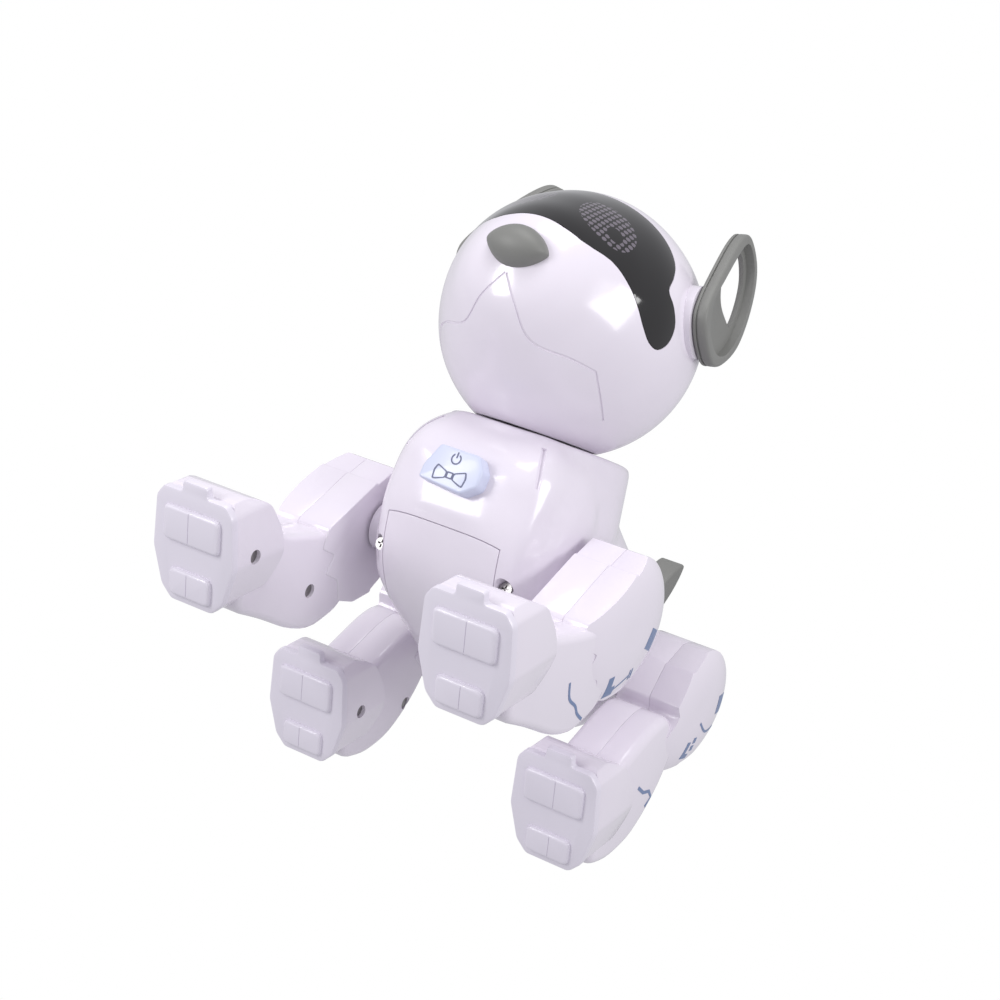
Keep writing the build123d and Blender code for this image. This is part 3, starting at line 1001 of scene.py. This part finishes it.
def whole_plan(half):
    """A plan outline from its right half."""
    return half + [(-x, y) for x, y in reversed(half)]


def drill_inner(piece, at, surface):
    """A screw well in the inner side of a leg."""
    carve(piece, rod("well", (surface - 2, *at), (surface + 5, *at), LEG_WELL_RADIUS))


def paw_block():
    """The paw: its side outline cut to its plan, slightly narrower than the sole."""
    paw = slab("paw", rounded(PAW_SIDE, 4), -20, 20)
    plan = [(x * 0.97, y) for x, y in whole_plan(HALF_PLAN)]
    carve(paw, slab("plan", rounded(plan, 1.2, 3), 0, 60, "z"), "INTERSECT")
    modify(paw, "BEVEL", width=2.2 * MM, segments=3, limit_method="ANGLE", angle_limit=radians(40))
    drill_inner(paw, PAW_SCREW, -18.5)
    return paw


def sole_plate():
    """The sole with its two treads and the fine seam between its halves."""
    plate = slab("sole", rounded(whole_plan(HALF_PLAN), 1.5, 3), SOLE_LOW, SOLE_HIGH, "z")
    soften_rim(plate, SOLE_LOW, 1.0, 2, across=2)
    pads = []
    for centre, half_x, half_y in ((-12, 13.5, 7), (11.5, 10, 5.5)):
        corners = [(-half_x, centre - half_y), (half_x, centre - half_y), (half_x, centre + half_y),
                   (-half_x, centre + half_y)]
        pad = slab("pad", rounded(corners, 2.5, 3), 0, 2.8, "z")
        soften_rim(pad, 0, 1.4, 3, across=2)
        pads.append(pad)
    for pad in pads:
        carve(plate, pad, "UNION")
    carve(plate, block("seam", (0.85, -32, -1), (1.15, 22, 0.2)))
    return plate


print("leg tools are ready")

# %% Build both kinds of leg
LEG_NODES = ("thigh_inner", "thigh_outer", "shin", "paw", "sole")


def hand_over(piece, end, part, finish):
    """Finish a left leg piece and its twin on the right."""
    piece.name = end + "_left_" + part + "_shell"
    smooth_faces(piece)
    other = twin(piece, end + "_right_" + part + "_shell")
    smooth_faces(other)
    for shell, side in ((piece, "left"), (other, "right")):
        leg = end + "_" + side
        stands_for = [leg + "_" + part] if part in LEG_NODES else []
        finish_piece(shell, finish, "leg_" + leg, "white_shell", *stands_for)


for end in ("front", "rear"):
    inner, outer = two_halves("thigh", thigh_side(end), THIGH_LOW, LEG_SPLIT, THIGH_HIGH, 1.6, 6.0)
    dome_outer(outer, end)
    halves = two_halves("shin", rounded(SHIN_SIDE[end], 6, 3), -SHIN_HALF, LEG_SPLIT, SHIN_HALF,
                        3.0, 4.0)
    drill_inner(halves[0], SHIN_SCREW[end], -SHIN_HALF)
    shin = join(halves, "shin")
    for part, piece, finish in (("thigh_inner", inner, white_abs), ("thigh_outer", outer, white_abs),
                                ("shin", shin, white_abs), ("paw", paw_block(), white_abs),
                                ("sole", sole_plate(), sole_abs)):
        put(piece, LEG_PLACE[end])
        hand_over(piece, end, part, finish)
    print(end, "legs are built")

# %% [markdown]
# ## Printed marks
# Small blue marks are printed on the outer sides of the legs. They could be part of the
# finish, but as thin films that are pressed onto the surface they can be placed like
# stickers, and they follow the rounded rims.

# %% Film pressed onto a leg
FILM = 0.08
FILM_START = 30.0


def film(outline, end):
    """A thin printed shape, drawn in the leg's side view beside its outer side."""
    mark = flat_face("film", outline, FILM_START)
    bpy.ops.object.mode_set(mode="EDIT")
    bpy.ops.mesh.select_all(action="SELECT")
    bpy.ops.mesh.quads_convert_to_tris()
    bpy.ops.mesh.subdivide(number_cuts=3)
    bpy.ops.object.mode_set(mode="OBJECT")
    put(mark, LEG_PLACE[end])
    return mark


def stroke(path, width):
    """An outline round a bent line."""
    left, right = [], []
    for index, point in enumerate(path):
        ahead = Vector(path[min(index + 1, len(path) - 1)]) - Vector(path[max(index - 1, 0)])
        side = Vector((-ahead.y, ahead.x)).normalized() * width / 2
        left.append(tuple(Vector(point) + side))
        right.append(tuple(Vector(point) - side))
    return left + right[::-1]


def bent(points, steps, width):
    """A stroke along a smooth line."""
    return stroke(flowing(points, steps, closed=False), width)


print("films are", FILM, "mm thick")

# %% Marks of each leg part
MARKS = {
    ("front", "thigh_outer"): [
        [(24, 118.5), (31, 113), (27, 106.5), (20, 112)],
        stroke([(35, 99), (38, 88)], 0.7),
        [(36.2, 88), (40.5, 88), (40.5, 82.2), (31, 82.2), (31, 85.6), (36.2, 85.6)],
        stroke([(37.5, 99.6), (33, 99.6)], 0.8),
        stroke([(37.5, 97.9), (33, 97.9)], 0.8),
    ],
    ("front", "shin"): [bent([(22, 54), (29, 55), (34, 60), (38, 62), (42, 66)], 4, 1.3)],
    ("rear", "thigh_outer"): [
        [(-16, 116), (-8, 113), (-10, 106), (-18, 108)],
        bent([(-3, 108), (-5, 98), (-12, 91)], 5, 1.1),
        [(-5.5, 90.5), (-3, 90), (-3.5, 87.4), (-6, 88)],
        [(-2, 89.5), (0.5, 89), (0, 86.6), (-2.5, 87)],
        [(-6, 83), (1.5, 80), (3.5, 86), (1.4, 86.6), (0.2, 83.4), (-5, 85.6)],
    ],
    ("rear", "shin"): [stroke([(0, 46), (4.5, 51), (6, 56), (10, 58.5), (12.5, 54)], 1.5)],
}
PRESS_ON = {"offset": FILM * MM, "wrap_method": "PROJECT", "wrap_mode": "ON_SURFACE",
            "use_project_x": True, "use_project_y": False, "use_project_z": False,
            "use_negative_direction": True, "use_positive_direction": False}
for (end, part), outlines in MARKS.items():
    films = [film(outline, end) for outline in outlines]
    mark = join(films, end + "_left_" + part + "_mark") if len(films) > 1 else films[0]
    target = bpy.data.objects[end + "_left_" + part + "_shell"]
    modify(mark, "SHRINKWRAP", target=target, **PRESS_ON)
    modify(mark, "SOLIDIFY", thickness=FILM * MM, offset=0.0)
    hand_over(mark, end, part + "_mark", mark_blue)
    print(end, part, "mark has", len(mark.data.polygons), "faces")

# %% [markdown]
# ## Finishes of the CAD pieces that stay
# The motors, boards, screws and hubs keep their CAD shape. Each one gets the finish of
# what it is made of, because a plain grey would show through every gap.

# %% Finishes by name
FINISH_OF = [("gear_motor", motor_metal), ("hub", white_abs), ("screw", screw_steel),
             ("main_board", board_green), ("head_board", board_green), ("touch_sensor", board_green),
             ("tail", grey_rubber), ("nose", grey_rubber), ("ear_bosses", white_abs),
             ("ear_", grey_rubber), ("visor", visor_smoke), ("eye_displays", dark_plastic),
             ("battery_pack", button_blue),
             ("speaker", dark_plastic), ("charging", dark_plastic), ("bushings", white_abs),
             ("bearing", inner_abs), ("neck_post", inner_abs), ("chassis", inner_abs),
             ("floor_plate", inner_abs), ("switch", dark_plastic)]
for name, node in frame["nodes"].items():
    finish = next((choice for word, choice in FINISH_OF if word in name), white_abs)
    node.data.materials.clear()
    node.data.materials.append(finish)
    node.data.polygons.foreach_set("material_index", [0] * len(node.data.polygons))
print("finished", len(frame["nodes"]), "CAD nodes")

# %% [markdown]
# ## Floor, light and camera
# The toy stands on white and is seen from below its own level by a camera that is rolled.
# A plain floor would hide it, so this one is solid from above and clear from below, as
# one-way glass would be.

# %% Pale floor
def lead_mix(tree, share, first, second, end):
    """Mix two shaders by a share and lead them to the last node."""
    mix = tree.nodes.new("ShaderNodeMixShader")
    tree.links.new(share, mix.inputs["Fac"])
    tree.links.new(first.outputs[0], mix.inputs[1])
    tree.links.new(second.outputs[0], mix.inputs[2])
    tree.links.new(mix.outputs[0], tree.nodes[end].inputs["Surface"])


FLOOR_SIZE = 3.0
FLOOR_HEIGHT = -0.0005
FLOOR_TINT = (0.86, 0.86, 0.87, 1)
deselect()
bpy.ops.mesh.primitive_plane_add(size=FLOOR_SIZE, location=(0, 0, FLOOR_HEIGHT))
floor = bpy.context.object
floor.name = "floor"
bpy.ops.object.transform_apply(location=True)
floor_finish = bpy.data.materials.new("pale_floor")
floor_finish.use_nodes = True
tree = floor_finish.node_tree
paint = tree.nodes["Principled BSDF"]
paint.inputs["Base Color"].default_value = FLOOR_TINT
paint.inputs["Roughness"].default_value = 0.7
rays = tree.nodes.new("ShaderNodeLightPath")
sides = tree.nodes.new("ShaderNodeNewGeometry")
from_below = maths(tree.nodes, tree.links, "SUBTRACT", 1.0, sides.outputs["Backfacing"])
seen = maths(tree.nodes, tree.links, "MULTIPLY", rays.outputs["Is Camera Ray"], from_below)
lead_mix(tree, seen, tree.nodes.new("ShaderNodeBsdfTransparent"), paint, "Material Output")
floor.data.materials.append(floor_finish)
print("floor is at", FLOOR_HEIGHT, "m")

# %% Camera
CAMERA_LENS = 74.29
CAMERA_PLACE = (0.3965, -0.6901, -0.20551)
CAMERA_TURN = (115.798, -29.469, 17.869)
camera_data = bpy.data.cameras.new("camera")
camera_data.lens = CAMERA_LENS
camera_data.sensor_width = 36.0
camera = bpy.data.objects.new("camera", camera_data)
bpy.context.collection.objects.link(camera)
camera.location = CAMERA_PLACE
camera.rotation_euler = Euler([radians(value) for value in CAMERA_TURN], "XYZ")
bpy.context.scene.camera = camera
bpy.context.view_layer.update()
print("camera is", round(camera.location.length, 3), "m from the origin")

# %% World and soft lights
world = bpy.data.worlds.new("studio")
bpy.context.scene.world = world
world.use_nodes = True
tree = world.node_tree
glow = tree.nodes["Background"]
glow.inputs["Color"].default_value = (0.96, 0.965, 1.0, 1)
glow.inputs["Strength"].default_value = 0.6
backdrop = tree.nodes.new("ShaderNodeBackground")
backdrop.inputs["Color"].default_value = (1, 1, 1, 1)
backdrop.inputs["Strength"].default_value = 1.0
rays = tree.nodes.new("ShaderNodeLightPath")
lead_mix(tree, rays.outputs["Is Camera Ray"], glow, backdrop, "World Output")
bpy.context.scene.view_settings.view_transform = "Standard"

TOY_MIDDLE = Vector((0, -0.02, 0.12))


def softbox(name, right, up, back, size, power):
    """A soft light placed to the camera's right, up and back from the middle of the toy."""
    lamp_data = bpy.data.lights.new(name, "AREA")
    lamp_data.shape = "RECTANGLE"
    lamp_data.size, lamp_data.size_y = size
    lamp_data.energy = power
    lamp = bpy.data.objects.new(name, lamp_data)
    bpy.context.collection.objects.link(lamp)
    turn = camera.matrix_world.to_3x3()
    lamp.location = TOY_MIDDLE + turn @ Vector((right, up, back))
    away = lamp.location - TOY_MIDDLE
    lamp.rotation_euler = away.to_track_quat("Z", "Y").to_euler()


softbox("left_box", -0.75, 0.45, 0.55, (0.3, 0.5), 4.0)
softbox("right_box", 0.8, 0.1, 0.6, (0.25, 0.6), 3.4)
softbox("top_box", 0.1, 0.9, 0.3, (0.6, 0.4), 3.0)
print("lights:", len(bpy.data.lights))
